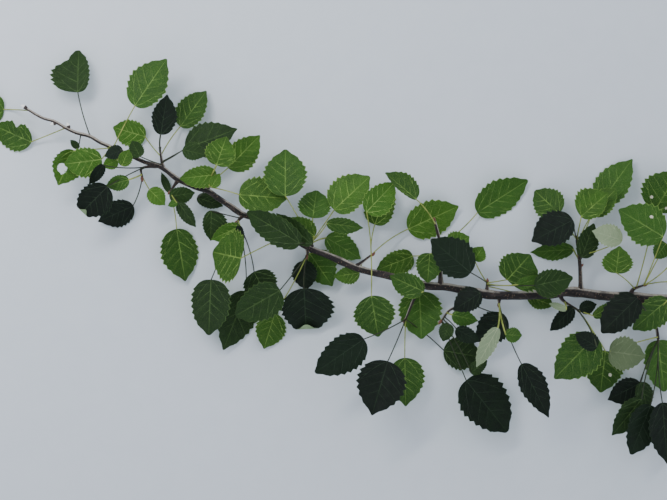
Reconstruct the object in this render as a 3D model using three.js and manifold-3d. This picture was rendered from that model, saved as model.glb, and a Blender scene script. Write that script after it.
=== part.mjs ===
// A leafy branch cut from a poplar, lying on a flat surface.
// Millimetres, +X along the branch towards its cut end, +Y across it, +Z up.
import * as THREE from 'three';
import Module from 'manifold-3d';

const wasm = await Module();
wasm.setup();

// Driving dimensions of the wood.
const CLEARANCE = 0.3;
const FINEST_DETAIL = 0.03;
const STEM_SIDES = 8;
const STEM_STEP = 16;
const SPUR_SIDES = 6;
const SPUR_STEP = 8;
const STRETCH_STEPS = 12;
const SPUR_RADIUS = 2.0;
const SPUR_TIP_RADIUS = 1.3;
const SIDE_TWIG_RADIUS = 2.9;

// Driving dimensions of the leaves.
const BLADE_THICKNESS = 0.8;
const BLADE_FOLD = Math.tan(THREE.MathUtils.degToRad(7));
const BLADE_ROUNDNESS = 0.95;
// Powers of the blade's outline: where it is widest, how sharp its base and its tip are, and how keen a
// leaf is, which multiplies both, at least and from leaf to leaf.
const BLADE_WIDEST = 0.78;
const BLADE_BASE = 0.7;
const BLADE_TIP = 1.0;
const KEEN_LEAST = 0.64;
const KEEN_SPREAD = 0.36;
const MAX_TILT = THREE.MathUtils.degToRad(28);
const TEETH_A_SIDE = 4;
const TOOTH_DEPTH = 0.1;
const TOOTH_LEAN = 0.75;
const TIP_LENGTH = 0.4;
const SHOULDER = 0.05;
const STALK_RADIUS = 0.75;
const STALK_SIDES = 3;
const STALK_STEPS = 3;
const STALK_BOW = 0.05;

// How the leaves settle on each other: the side of a plan cell, the free height between two blades, the
// part of a stalk's way from which it clears the others, and how far a free leaf drifts up and down.
const CELL = 4;
const LAYER_GAP = 2.2;
const STALK_CLEAR_FROM = 0.15;
const DRIFT = 14;
const DRIFT_DOWN = 0.4;
const FINE = 0.05;
const SEEDS_A_SHOOT = 20;

// The main stem from the cut end to where the leading shoot starts: distance left of the cut, rise across.
const STEM_PATH = [
  [0, 0], [41, 4], [85, 7], [119, 9], [162, 14], [192, 11], [251, 9.5], [280, 13], [316, 20], [342, 22],
  [390, 34], [427, 43], [464, 59], [487, 68], [504, 79], [518, 93], [544, 104], [570, 110], [587, 121],
  [602, 131], [615, 140], [632, 145], [652, 154], [674, 170], [694, 176], [707, 182], [731, 193],
];
// The height of its centre line over the surface, and its diameter, at distances from the cut.
const STEM_HEIGHT = [[0, 6.7], [100, 16], [220, 25], [400, 34], [600, 36], [731, 34], [850, 30]];
const STEM_DIAMETER = [
  [0, 13.4], [100, 12.2], [185, 11.5], [250, 11], [320, 9.8], [430, 8.4], [585, 7.2], [650, 5.8], [731, 4.8],
];

// Each shoot: where its foot is on the main stem, its path from there [right, up] and its leaves.
// A leaf: part of the path at its root, blade base from the foot [right, up], blade from its base
// [right, up], blade width, storey (0 under the stem, 1 beside it, 2 over all), and for a lopsided one how
// much wider its left half is.
const SHOOTS = {
  tip_shoot: { foot: 731, radius: 2.4, tip_radius: 1.6, lift: -6, leading: true,
    path: [[-19, 8], [-31, 15], [-49, 20], [-62, 26], [-76, 34], [-91, 38.5], [-111, 50]],
    leaves: [
      [0.96, -142, 50, -48, 6, 45, 0],
      [0.55, -107, 9, -49, 22, 41, 0],
      [0.28, -47, 71, 0, 54, 54, 1, 0.4],
      [0.38, -45, 1, -11, 10, 10, 1],
      [0.02, 26, 53, 40, 59, 53, 1],
      [0.02, -51, -3, -20, -44, 40, 1],
      [0.05, -16, -14, -47, -6, 40, 1],
      [0.05, 4, -15, -19, -8, 18, 1],
      [0.03, 11, -3, -23, -8, 20, 2],
      [0.06, 11, -22, 9, 21, 19, 2],
    ] },
  spur_01_below: { foot: 679, path: [[-19, -4], [-18, -14]],
    leaves: [
      [0.5, -65, 0, -18, -24, 15, 1],
      [0.9, -34, -18, -29, -8, 21, 1],
      [0.5, -60, -27, -37, -37, 45, 1],
      [1.0, -31, -50, -45, -20, 37, 0],
      [0.95, -9, -30, 20, -20, 25, 1],
    ] },
  spur_02_above: { foot: 671, path: [[-4, 25]],
    leaves: [
      [0.6, -24, 41, -41, 12, 37, 0],
      [0.9, -1, 42, 8, 50, 33, 1],
      [0.65, 21, 54, 33, 45, 40, 0],
      [0.35, 29, 25, 65, 25, 46, 1],
      [0.3, 26, 23, 30, -7, 25, 1],
      [0.2, -28, 15, -10, 20, 21, 1],
    ] },
  spur_03_below: { foot: 652, path: [[-10, -15]],
    leaves: [
      [0.9, -12, -15, -11, 26, 11, 0],
      [0.95, -10, -21, 32, 5, 24, 1],
      [1.0, 1, -29, 22, -31, 19, 1],
      [1.0, -3, -62, 11, -66, 51, 0, -0.13],
      [1.0, -1, -29, -12, -4, 10, 1],
    ] },
  spur_04_above: { foot: 615, path: [[-1, 9]],
    leaves: [
      [1.0, 12, 32, 13, 35, 41, 2],
      [1.0, 26, 29, 40, 41, 41, 1],
      [0.9, 11, 20, -46, -5, 30, 1],
      [0.9, 6, 5, 10, 17, 15, 1],
      [0.6, 40, -5, 60, -5, 50, 1],
      [0.4, -14, -8, 33, -11, 21, 0],
    ] },
  spur_05_below: { foot: 571, path: [[-7, -9]],
    leaves: [
      [0.5, -39, 4, -1, -38, 34, 1, 0.27],
      [0.9, -3, -15, -37, -17, 25, 1],
      [1.0, -5, -15, 5, -22, 11, 1],
      [1.0, 14, -72, 17, -33, 48, 1],
      [1.0, 3, -97, -29, -74, 50, 0],
      [1.0, -40, -82, -3, -70, 55, 1, 0.12],
    ] },
  long_stalk_leaf: { foot: 515, path: [[-3, -7]],
    leaves: [
      [0.9, -58, -34, -35, 8, 70, 2],
    ] },
  shoot_06_above: { foot: 486, path: [[1, 9]],
    leaves: [
      [0.9, -14, 7, -66, 40, 39, 2],
      [0.9, -32, 66, 0, 59, 58, 2],
      [1.0, 2, 39, 5, 35, 44, 1],
      [1.0, 4, 16, -29, 24, 30, 1],
      [0.9, 1, 6, -45, 39, 25, 1],
      [1.0, 29, 49, 45, 42, 50, 1, 0.1],
      [1.0, 20, 32, 46, -6, 22, 1],
      [0.8, 19, 14, 44, -27, 34, 0],
    ] },
  shoot_06_below: { foot: 490, path: [[-1, -10]],
    leaves: [
      [0.8, 2, -8, 29, -42, 44, 0, 0.2],
      [0.9, -5, -18, 3, -37, 34, 0],
      [1.0, -5, -52, 3, -60, 70, 1, 0.1],
      [1.0, -35, -54, -56, -32, 50, 1],
      [1.0, -42, -84, -14, -45, 42, 0],
    ] },
  spur_07_above: { foot: 431, path: [[20, 15]],
    leaves: [
      [1.0, 67, 48, 64, 29, 51, 0, 0.08],
      [1.0, 25, 54, 19, 51, 40, 0],
      [1.0, 14, 69, 36, 38, 40, 1],
      [1.0, 20, -36, 9, -52, 55, 1],
      [0.4, 5, -7, -33, -5, 25, 0],
    ] },
  side_twig_08: { foot: 324, radius: SIDE_TWIG_RADIUS, tip_radius: 1.7, lift: 10, bough: 0.42,
    path: [[-1, 36], [-2, 58], [-8, 82]],
    leaves: [
      [0.62, 47, 93, 64, 41, 46, 0, 0.15],
      [0.95, -32, 109, -39, 33, 26, 1, -0.45],
      [0.5, -35, 38, -46, -18, 35, 0],
      [0.5, -14, 41, -3, -37, 36, 1],
      [0.5, 9, 47, 28, 16, 36, 1],
    ] },
  spur_09_below: { foot: 345, radius: 2.3, path: [[-10, -13], [-23, -43]],
    leaves: [
      [0.3, -1, -8, -43, 20, 34, 2],
      [0.2, -5, -10, 2, -59, 60, 0],
      [1.0, -76, -67, -61, -42, 50, 1],
      [1.0, -46, -95, -20, -67, 68, 2],
      [1.0, -24, -92, 1, -61, 50, 1],
      [1.0, 26, -83, 49, -9, 46, 0],
    ] },
  shoot_10_below: { foot: 278, path: [[-4, -9], [-35, -22], [-45, -35]],
    leaves: [
      [1.0, -14, -110, 52, -65, 66, 1],
      [1.0, -8, -100, 21, 16, 18, 1],
      [0.1, 2, 0, -34, -22, 32, 2],
      [0.3, 34, -29, -38, -33, 44, 1],
      [0.8, -32, -27, 33, -8, 23, 1],
      [0.9, -27, -45, 30, -16, 22, 1],
      [0.95, -36, -39, -8, -22, 20, 1],
    ] },
  spur_11_above: { foot: 266, path: [[0, 14]],
    leaves: [
      [1.0, -22, 27, -50, 42, 52, 2],
      [1.0, -16, 43, 11, 17, 24, 1],
      [1.0, 25, 18, 28, 32, 64, 1, -0.2],
      [0.9, 37, 12, 30, 9, 16, 1],
      [0.8, 58, 11, 48, 10, 38, 1],
      [0.7, 52, -3, 34, -13, 26, 0],
    ] },
  shoot_12_below: { foot: 251, path: [[0, -10]],
    leaves: [
      [1.0, -4, -40, -27, -49, 22, 2],
      [1.0, 6, -48, 21, -1, 21, 1],
      [1.0, 26, -85, 34, -67, 37, 1],
    ] },
  spur_13_below: { foot: 174, path: [[2, -8], [22, -22]],
    leaves: [
      [1.0, 15, -19, -29, -29, 23, 1],
      [1.0, 24, -20, 22, 6, 20, 1],
      [1.0, 41, -54, -52, -53, 60, 1],
      [1.0, 41, -66, -27, 16, 25, 1],
      [1.0, 41, -29, 30, 17, 17, 1],
      [0.4, 6, -21, -22, 8, 10, 2],
      [1.0, 58, -74, -8, -52, 54, 0],
    ] },
  side_twig_14: { foot: 148, radius: SIDE_TWIG_RADIUS, tip_radius: 1.8, lift: 12, bough: 0.42,
    path: [[-2, 37], [-6, 67]],
    leaves: [
      [1.0, -28, 100, -30, 29, 43, 1],
      [0.95, -12, 91, -52, -27, 47, 2],
      [0.6, -9, 55, -55, -4, 25, 0],
      [1.0, -1, 96, 34, 30, 44, 2, 0.3],
      [0.9, 12, 99, 32, 32, 35, 1],
      [0.9, 21, 108, 45, 61, 45, 0],
      [0.6, 0, 45, 15, 43, 30, 1],
      [0.7, 49, 66, -38, 12, 32, 1],
    ] },
  spur_15_above: { foot: 85, radius: 2.4, path: [[2, 9], [16, 15]],
    leaves: [
      [0.5, -21, 31, 3, 34, 41, 1],
      [1.0, 37, 76, -56, 34, 57, 2],
      [0.6, 31, 110, 28, 49, 60, 1, 0.15],
      [1.0, 44, 67, -15, -19, 25, 1],
      [1.0, 55, 19, 45, 9, 50, 1],
      [1.0, 50, 44, 35, 28, 45, 1],
    ] },
  side_twig_16: { foot: 75, radius: SIDE_TWIG_RADIUS, tip_radius: 1.8, lift: 4, bough: 0.45,
    path: [[10, -16], [21, -36], [24, -52]],
    leaves: [
      [0.5, -5, 0, -45, -44, 45, 2],
      [0.95, -40, -66, 44, -6, 45, 2],
      [1.0, 0, -107, -41, -21, 37, 1],
      [1.0, 1, -106, 9, -36, 25, 1],
      [0.9, 24, -54, 8, -65, 52, 0],
      [1.0, 1, -126, -38, -46, 36, 1],
      [1.0, 12, -134, -25, -62, 45, 1],
      [1.0, 27, -131, 6, -77, 50, 1],
      [0.5, 34, -3, -44, -37, 42, 1],
    ] },
};

const BARK = new THREE.MeshStandardMaterial({ color: 0x4a3a38, roughness: 0.8, metalness: 0 });
const LEAVES = new THREE.MeshStandardMaterial({ color: 0x4f8a35, roughness: 0.6, metalness: 0 });

// Value of a table of [place, value] rows at a place, by straight lines between the rows.
function between(rows, place) {
  let i = 1;
  while (i < rows.length - 1 && rows[i][0] < place) i += 1;
  const [x0, y0] = rows[i - 1];
  const [x1, y1] = rows[i];
  return y0 + ((y1 - y0) * (place - x0)) / (x1 - x0);
}

// A repeatable number from 0 to 1 for any whole number.
function chance(seed) {
  const wave = Math.sin(seed * 12.9898 + 4.1414) * 43758.5453;
  return wave - Math.floor(wave);
}

// What a function gives at even parts from 0 to 1.
function spread(steps, at) {
  return Array.from({ length: steps + 1 }, (_, i) => at(i / steps));
}

// A point of the main stem's centre line.
function stemPoint(reach) {
  return new THREE.Vector3(-reach, between(STEM_PATH, reach), between(STEM_HEIGHT, reach));
}

// A closed tapering tube along a curve, as vertices and triangles.
function tube(curve, radiusAt, steps, sides) {
  const frames = curve.computeFrenetFrames(steps, false);
  const vertices = [];
  const triangles = [];
  for (let i = 0; i <= steps; i += 1) {
    const centre = curve.getPointAt(i / steps);
    const radius = radiusAt(i / steps);
    for (let k = 0; k < sides; k += 1) {
      const angle = (2 * Math.PI * k) / sides;
      const point = centre.clone()
        .addScaledVector(frames.normals[i], radius * Math.cos(angle))
        .addScaledVector(frames.binormals[i], radius * Math.sin(angle));
      vertices.push(point);
    }
  }
  const last = steps * sides;
  for (let k = 0; k < sides; k += 1) {
    const next = (k + 1) % sides;
    for (let i = 0; i < last; i += sides) {
      triangles.push([i + k, i + next, i + sides + next], [i + k, i + sides + next, i + sides + k]);
    }
    if (k > 0 && next > 0) {
      triangles.push([0, next, k], [last, last + k, last + next]);
    }
  }
  return { vertices, triangles };
}

// A solid that can be joined and cut, from vertices and triangles.
function solid({ vertices, triangles }) {
  const vertProperties = new Float32Array(vertices.flatMap((v) => [v.x, v.y, v.z]));
  const triVerts = new Uint32Array(triangles.flat());
  return new wasm.Manifold(new wasm.Mesh({ numProp: 3, vertProperties, triVerts }));
}

// A named mesh from a solid.
function mesh(name, body, material) {
  const { vertProperties, triVerts } = body.getMesh();
  const geometry = new THREE.BufferGeometry();
  geometry.setAttribute('position', new THREE.BufferAttribute(vertProperties, 3));
  geometry.setIndex(new THREE.BufferAttribute(triVerts, 1));
  geometry.computeVertexNormals();
  const result = new THREE.Mesh(geometry, material);
  result.name = name;
  return result;
}

// The main stem, grown outwards by a margin.
function stemSolid(margin) {
  const points = STEM_PATH.map(([reach]) => stemPoint(reach));
  const curve = new THREE.CatmullRomCurve3(points, false, 'centripetal');
  const length = STEM_PATH.at(-1)[0];
  const radiusAt = (t) => between(STEM_DIAMETER, t * length) / 2 + margin;
  return solid(tube(curve, radiusAt, Math.round(length / STEM_STEP), STEM_SIDES));
}

// Half the width of a blade of unit half width, at a part t of its length: less at base and tip if keener.
function halfWidth(t, keenness) {
  const power = keenness * (BLADE_BASE + (BLADE_TIP - BLADE_BASE) * t);
  return Math.max(0, Math.sin(Math.PI * t ** BLADE_WIDEST)) ** power;
}

// The outline points of one side of a blade, as [part of the length, part of the half width].
function sideOutline(keenness) {
  const points = [[SHOULDER, halfWidth(SHOULDER, keenness)]];
  const pitch = 1 / (TEETH_A_SIDE + TIP_LENGTH);
  for (let k = 0; k < TEETH_A_SIDE; k += 1) {
    const tooth = (k + TOOTH_LEAN) * pitch;
    const notch = (k + 1) * pitch;
    points.push([tooth, halfWidth(tooth, keenness)], [notch, halfWidth(notch, keenness) * (1 - TOOTH_DEPTH)]);
  }
  return points;
}

// The directions of a blade seen from above with a given length and width, tilted to one of four ways.
function bladeFrame(leaf, way) {
  const seen = Math.hypot(leaf.right, leaf.up);
  const narrow = Math.min(1, leaf.width / (BLADE_ROUNDNESS * seen));
  const short = Math.min(1, (BLADE_ROUNDNESS * seen) / leaf.width);
  const roll = Math.min(MAX_TILT, Math.acos(narrow)) * (way & 1 ? 1 : -1);
  const pitch = Math.min(MAX_TILT, Math.acos(short)) * (way & 2 ? 1 : -1);
  const heading = new THREE.Vector3(leaf.right / seen, leaf.up / seen, 0);
  const across = new THREE.Vector3(-heading.y, heading.x, 0);
  const axis = heading.clone().multiplyScalar(Math.cos(pitch));
  axis.z = Math.sin(pitch);
  const lifted = new THREE.Vector3().crossVectors(axis, across);
  const side = across.clone().multiplyScalar(Math.cos(roll)).addScaledVector(lifted, Math.sin(roll));
  return {
    axis, side,
    normal: new THREE.Vector3().crossVectors(axis, side),
    length: seen / Math.cos(pitch),
    half: leaf.width / Math.cos(roll) / 2,
    keenness: leaf.keenness,
    skew: leaf.skew,
  };
}

// A point of a blade: u along it, v across it and w through it, with both halves lifted a little, and one
// half wider than the other by its skew.
function bladePoint(base, frame, u, v, w) {
  return base.clone()
    .addScaledVector(frame.axis, u)
    .addScaledVector(frame.side, v * (1 + frame.skew * Math.sign(v)))
    .addScaledVector(frame.normal, w + BLADE_FOLD * Math.abs(v));
}

// The toothed blade as a closed thin solid, folded along its midrib.
function bladeSolid(base, frame) {
  const side = sideOutline(frame.keenness);
  const flat = [[0, 0], ...side.map(([t, h]) => [t * frame.length, h * frame.half]), [frame.length, 0]];
  const faces = THREE.ShapeUtils.triangulateShape(flat.map(([u, v]) => new THREE.Vector2(u, v)), []);
  const tip = flat.length - 1;
  const outline = [...flat, ...flat.slice(1, tip).reverse().map(([u, v]) => [u, -v])];
  const count = outline.length;
  const mirrored = (i) => (i === 0 || i === tip ? i : count - i);
  const vertices = [1, -1].flatMap((face) => outline.map(
    ([u, v]) => bladePoint(base, frame, u, v, (face * BLADE_THICKNESS) / 2),
  ));
  const triangles = [];
  for (const [a, b, c] of faces) {
    const [x, y, z] = THREE.ShapeUtils.area([a, b, c].map((i) => new THREE.Vector2(...flat[i]))) > 0
      ? [a, b, c] : [a, c, b];
    triangles.push([x, y, z], [x + count, z + count, y + count]);
    const [p, q, r] = [x, y, z].map(mirrored);
    triangles.push([p, r, q], [p + count, q + count, r + count]);
  }
  for (let i = 0; i < count; i += 1) {
    const j = (i + 1) % count;
    triangles.push([i, j, j + count], [i, j + count, i + count]);
  }
  return solid({ vertices, triangles });
}

// A point of a leaf stalk at a part t of its way: slightly bowed in plan, levelling out in height.
function stalkPoint(root, base, t, bow) {
  const run = new THREE.Vector2(base.x - root.x, base.y - root.y);
  const aside = bow * 4 * t * (1 - t);
  return new THREE.Vector3(
    root.x + run.x * t - run.y * aside,
    root.y + run.y * t + run.x * aside,
    root.z + (base.z - root.z) * levelling(t),
  );
}

// The part of its height that a stalk has reached at a part t of its way.
function levelling(t) {
  return 1 - (1 - t) ** 2;
}

// The heap of what lies over each plan cell, so that a new blade can settle on top.
const heap = new Map();

function pile(point, margin, owner) {
  const key = `${Math.round(point.x / CELL)} ${Math.round(point.y / CELL)}`;
  if (!heap.has(key)) heap.set(key, []);
  heap.get(key).push({ top: point.z + margin, owner });
}

// The highest thing over the nine cells round a place that belongs to another owner.
function topAt(x, y, owner) {
  let top = 0;
  for (let i = -1; i <= 1; i += 1) {
    for (let j = -1; j <= 1; j += 1) {
      const key = `${Math.round(x / CELL) + i} ${Math.round(y / CELL) + j}`;
      for (const thing of heap.get(key) ?? []) {
        if (thing.owner !== owner) top = Math.max(top, thing.top);
      }
    }
  }
  return top;
}

// Points spread over a blade whose base is at the origin.
function bladeSamples(frame) {
  const samples = [];
  const origin = new THREE.Vector3();
  for (let u = 0; u <= frame.length; u += CELL / 2) {
    const reach = halfWidth(u / frame.length, frame.keenness) * frame.half;
    for (let v = -reach; v <= reach; v += CELL / 2) samples.push(bladePoint(origin, frame, u, v, 0));
    samples.push(bladePoint(origin, frame, u, reach, 0));
  }
  return samples;
}

// The least height of a blade's base at which the blade and its stalk clear everything under them.
function restingHeight(leaf, frame) {
  const wanted = leaf.storey === 0 ? 0 : leaf.root.z + DRIFT * (chance(leaf.seed) - DRIFT_DOWN);
  let height = Math.max(wanted, BLADE_THICKNESS);
  for (const sample of bladeSamples(frame)) {
    const top = topAt(leaf.base.x + sample.x, leaf.base.y + sample.y, null);
    const gap = top > 0 ? LAYER_GAP : BLADE_THICKNESS / 2;
    height = Math.max(height, top + gap - sample.z);
  }
  for (let t = STALK_CLEAR_FROM; t <= 1; t += FINE) {
    const point = stalkPoint(leaf.root, leaf.base, t, leaf.bow);
    const top = topAt(point.x, point.y, leaf.owner);
    if (top > 0) {
      height = Math.max(height, leaf.root.z + (top + LAYER_GAP - leaf.root.z) / levelling(t));
    }
  }
  return height;
}

// Settles a leaf: of the four ways to tilt it, the one that lets it lie lowest.
function settle(leaf) {
  let best = null;
  for (let way = 0; way < 4; way += 1) {
    const frame = bladeFrame(leaf, way);
    const height = restingHeight(leaf, frame);
    if (best === null || height < best.height - 0.01) best = { frame, height };
  }
  leaf.frame = best.frame;
  leaf.base.z = best.height;
  for (const sample of bladeSamples(leaf.frame)) pile(sample.add(leaf.base), BLADE_THICKNESS / 2, leaf.owner);
  for (let t = 0; t <= 1; t += FINE) {
    pile(stalkPoint(leaf.root, leaf.base, t, leaf.bow), STALK_RADIUS, leaf.owner);
  }
}

// The centre line of a shoot, from the main stem's middle to its end.
function shootCurve(shoot) {
  const foot = stemPoint(shoot.foot);
  const count = shoot.path.length;
  const points = shoot.path.map(([right, up], i) => new THREE.Vector3(
    foot.x + right, foot.y + up, foot.z + ((shoot.lift ?? 0) * (i + 1)) / count,
  ));
  return new THREE.CatmullRomCurve3([foot, ...points], false, 'centripetal');
}

// A stretch of a shoot's centre line, between two parts of its length.
function stretch(curve, from, to) {
  return new THREE.CatmullRomCurve3(spread(STRETCH_STEPS, (t) => curve.getPointAt(from + (to - from) * t)));
}

// The wood of a shoot between two parts of its length.
function woodSolid(shoot, curve, from, to) {
  const start = shoot.radius ?? SPUR_RADIUS;
  const end = shoot.tip_radius ?? SPUR_TIP_RADIUS;
  const radiusAt = (t) => start + (end - start) * (from + (to - from) * t);
  const piece = stretch(curve, from, to);
  const steps = Math.max(2, Math.round(piece.getLength() / SPUR_STEP));
  return solid(tube(piece, radiusAt, steps, SPUR_SIDES));
}

// The leaves of a shoot, each with its root on the wood and its place in plan.
function shootLeaves(name, shoot, curve, firstSeed) {
  const foot = stemPoint(shoot.foot);
  return shoot.leaves.map(([part, baseRight, baseUp, right, up, width, storey, skew = 0], i) => ({
    owner: name,
    seed: firstSeed + i,
    root: curve.getPointAt(part),
    base: new THREE.Vector3(foot.x + baseRight, foot.y + baseUp, 0),
    bow: STALK_BOW * (2 * chance(firstSeed + i + 0.5) - 1),
    keenness: KEEN_LEAST + KEEN_SPREAD * chance(firstSeed + i + 0.3),
    right, up, width, storey, skew,
  }));
}

// One leaf: its stalk from the wood, and the blade, which starts a stalk's radius before the stalk's end.
function leafSolids(leaf) {
  const points = spread(STALK_STEPS, (t) => stalkPoint(leaf.root, leaf.base, t, leaf.bow));
  const bladeStart = bladePoint(leaf.base, leaf.frame, -STALK_RADIUS, 0, 0);
  return [
    solid(tube(new THREE.CatmullRomCurve3(points), () => STALK_RADIUS, STALK_STEPS, STALK_SIDES)),
    bladeSolid(bladeStart, leaf.frame),
  ];
}

// The largest connected piece of a solid.
function largestPiece(body) {
  const pieces = body.decompose();
  return pieces.reduce((best, piece) => (piece.volume() > best.volume() ? piece : best));
}

const stem = stemSolid(0);
const stemRoom = stemSolid(CLEARANCE);
const shoots = [];
for (const [name, shoot] of Object.entries(SHOOTS)) {
  const curve = shootCurve(shoot);
  shoots.push({ name, shoot, curve, leaves: shootLeaves(name, shoot, curve, SEEDS_A_SHOOT * shoots.length) });
}

// The leaves under the stem settle on the surface first, then the wood lies over them, then the others.
const everyLeaf = shoots.flatMap((entry) => entry.leaves);
everyLeaf.filter((leaf) => leaf.storey === 0).forEach(settle);
for (let reach = 0; reach <= STEM_PATH.at(-1)[0]; reach += CELL) {
  const radius = between(STEM_DIAMETER, reach) / 2;
  for (const side of [-1, 0, 1]) {
    pile(stemPoint(reach).add(new THREE.Vector3(0, side * radius, 0)), radius, 'main_stem');
  }
}
for (const { name, shoot, curve } of shoots) {
  for (let t = 0; t <= 1; t += FINE) pile(curve.getPointAt(t), shoot.radius ?? SPUR_RADIUS, name);
}
everyLeaf.filter((leaf) => leaf.storey === 1).forEach(settle);
everyLeaf.filter((leaf) => leaf.storey === 2).forEach(settle);

const group = new THREE.Group();
group.add(mesh('main_stem', stem, BARK));
for (const { name, shoot, curve, leaves } of shoots) {
  const start = shoot.bough ?? 0;
  const gap = shoot.bough || shoot.leading ? CLEARANCE / curve.getLength() : 0;
  if (shoot.bough) {
    group.add(mesh(name, woodSolid(shoot, curve, 0, start).subtract(stemRoom), BARK));
  }
  const parts = [woodSolid(shoot, curve, start + gap, 1), ...leaves.flatMap(leafSolids)];
  const mass = wasm.Manifold.union(parts).subtract(stemRoom).asOriginal().simplify(FINEST_DETAIL);
  group.add(mesh(shoot.bough ? name.replace('side_twig', 'tuft') : name, largestPiece(mass), LEAVES));
}

// The origin is under the middle of the whole branch, on the surface that it lies on.
const box = new THREE.Box3().setFromObject(group);
const middle = box.getCenter(new THREE.Vector3());
for (const piece of group.children) piece.position.set(-middle.x, -middle.y, -box.min.z);

export default group;
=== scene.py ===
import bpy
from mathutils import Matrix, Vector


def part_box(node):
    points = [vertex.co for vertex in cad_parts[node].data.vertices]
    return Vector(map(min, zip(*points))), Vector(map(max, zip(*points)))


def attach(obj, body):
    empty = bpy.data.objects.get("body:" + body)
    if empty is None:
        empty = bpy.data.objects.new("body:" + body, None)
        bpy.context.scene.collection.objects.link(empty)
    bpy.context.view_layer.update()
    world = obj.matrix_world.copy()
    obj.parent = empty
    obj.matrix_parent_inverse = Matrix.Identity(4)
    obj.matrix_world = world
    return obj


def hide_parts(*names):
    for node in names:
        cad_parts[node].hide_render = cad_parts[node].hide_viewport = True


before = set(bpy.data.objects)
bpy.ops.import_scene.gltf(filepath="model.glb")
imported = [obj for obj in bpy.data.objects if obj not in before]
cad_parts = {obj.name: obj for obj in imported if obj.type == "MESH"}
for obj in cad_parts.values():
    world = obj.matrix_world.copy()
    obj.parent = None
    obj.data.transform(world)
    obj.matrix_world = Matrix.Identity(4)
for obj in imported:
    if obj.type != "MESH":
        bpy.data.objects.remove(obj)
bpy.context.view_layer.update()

from types import SimpleNamespace

import bpy
import numpy as np

# A leafy branch cut from a poplar, lying on a floor. Lengths are millimetres until a mesh is made.
MM = 0.001
UP = np.array([0.0, 0.0, 1.0])
TINY = 1e-9

# The photograph's frame: its width, the place under its middle, and the camera's lens.
FRAME_WIDTH = 833.75
FRAME_MIDDLE = (-458.1, 66.25)
STEM_LEVEL = 30.0
LENS = 200.0
SENSOR = 36.0

# The main stem up to the leading shoot: distance left of the cut, rise across.
STEM_PATH = np.array([
    [0, 0], [41, 4], [85, 7], [119, 9], [162, 14], [192, 11], [251, 9.5], [280, 13], [316, 20], [342, 22],
    [390, 34], [427, 43], [464, 59], [487, 68], [504, 79], [518, 93], [544, 104], [570, 110], [587, 121],
    [602, 131], [615, 140], [632, 145], [652, 154], [674, 170], [694, 176], [707, 182], [731, 193],
], float)
# Its centre line's height over the floor, and its diameter, at distances from the cut.
STEM_HEIGHT = np.array([[0, 6.7], [100, 16], [220, 25], [400, 34], [600, 36], [731, 34], [850, 30]], float)
STEM_DIAMETER = np.array([
    [0, 13.4], [100, 12.2], [185, 11.5], [250, 11], [320, 9.8], [430, 8.4], [585, 7.2], [650, 5.8],
    [731, 4.8],
], float)
STEM_END = STEM_PATH[-1, 0]
STEM_SIDES, STEM_STEP = 36, 1.2
# Rings on the stem where a year's growth began, at distances from the cut.
YEAR_RINGS = np.array([118, 262, 402, 520, 596, 648, 712], float)
YEAR_RING_HEIGHT, YEAR_RING_WIDTH = 0.35, 1.5
# The swelling at a shoot's foot: part of the radius, and length.
NODE_SWELLING, NODE_LENGTH = 0.15, 7.0
# Unevenness of bark, as sines: share, length along the wood, turns round it, and part of the seed.
KNOBS = ((0.5, 9.0, 2, 1), (0.3, 4.1, -3, 2), (0.2, 1.9, 5, 3))
STEM_KNOBS, STEM_SINKS, TWIG_KNOBS = 0.16, 0.1, 0.09
# The cut: how far bark and wood are drawn in, the dome's height, and its depth in the bark.
CUT_RIM, CUT_INSET, CUT_DOME, CUT_DEPTH = 0.9, 0.72, 0.35, 1.5
CUT_RINGS = 14

TWIG_SIDES, TWIG_STEP, TWIG_LEAST_RINGS = 16, 1.0, 6
TWIGS_APART = 37
# The wood of short spurs, and of the rest: radius at foot and tip, and the tip's rise.
SPUR = (2.0, 1.3, 0)
WOOD = {
    "tip_shoot": (2.4, 1.6, -6), "side_twig_08": (2.9, 1.7, 10), "spur_09_below": (2.3, 1.3, 0),
    "side_twig_14": (2.9, 1.8, 12), "spur_15_above": (2.4, 1.3, 0), "side_twig_16": (2.9, 1.8, 4),
}
LEADING = "tip_shoot"
SPUR_RING_PITCH, SPUR_RING_HEIGHT = 2.3, 0.13
# Wood thicker than this grew fast, and its rings are lower by this factor.
LONG_WOOD_RADIUS, LONG_WOOD_RINGS = 2.5, 0.35
COLLAR, COLLAR_LENGTH = 1.1, 3.5
STEM_GAP = 0.3

# The blades, by the same rule as the solids.
BLADE_THICKNESS = 0.8
BLADE_FOLD = np.tan(np.radians(7))
BLADE_ROUNDNESS = 0.95
BLADE_WIDEST, BLADE_BASE, BLADE_TIP = 0.78, 0.7, 1.0
KEEN_LEAST, KEEN_SPREAD = 0.64, 0.36
MAX_TILT = np.radians(28)
# What the scene adds. A leaf less than twice this wide has lower veins and pillows.
FULL_HALF = 22.0
SKIN_THICKNESS = 0.26
BLADE_COLUMNS = 14
TEETH = 8
TOOTH_DEPTH, TOOTH_LEAN, TOOTH_BULGE = 0.115, 0.68, 1.1
# The margin's base and tip: length in teeth, and fall in a tooth's depth.
BASE_LENGTH, BASE_FALL = 1.4, 0.4
TIP_LENGTH, TIP_FALL = 1.3, 0.5
TIP_HOLLOW = 0.22
TOOTH_PITCH = 1 / (TEETH + TIP_LENGTH)
MARGIN_SWING, SWING_TURN = 0.025, 7.0
PILLOW = 0.5
MARGIN_WAVE, MARGIN_WAVES, WAVES_APART = 1.5, 2.1, 0.3
# A tip turned over: its start along the blade, its arc, and how far before it the lift fades.
CURL_FROM, CURL_RADIUS, CURL_TURN, CURL_FLATTENS = 0.82, 1.7, 0.93 * np.pi, 0.3

# Side veins: their start, distance and slant, and how much later the left ones start.
VEIN_START, VEIN_PITCH, VEIN_SLANT, VEIN_STAGGER = 0.03, 0.17, 0.33, 0.25
SIDE_VEINS = 3
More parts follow.
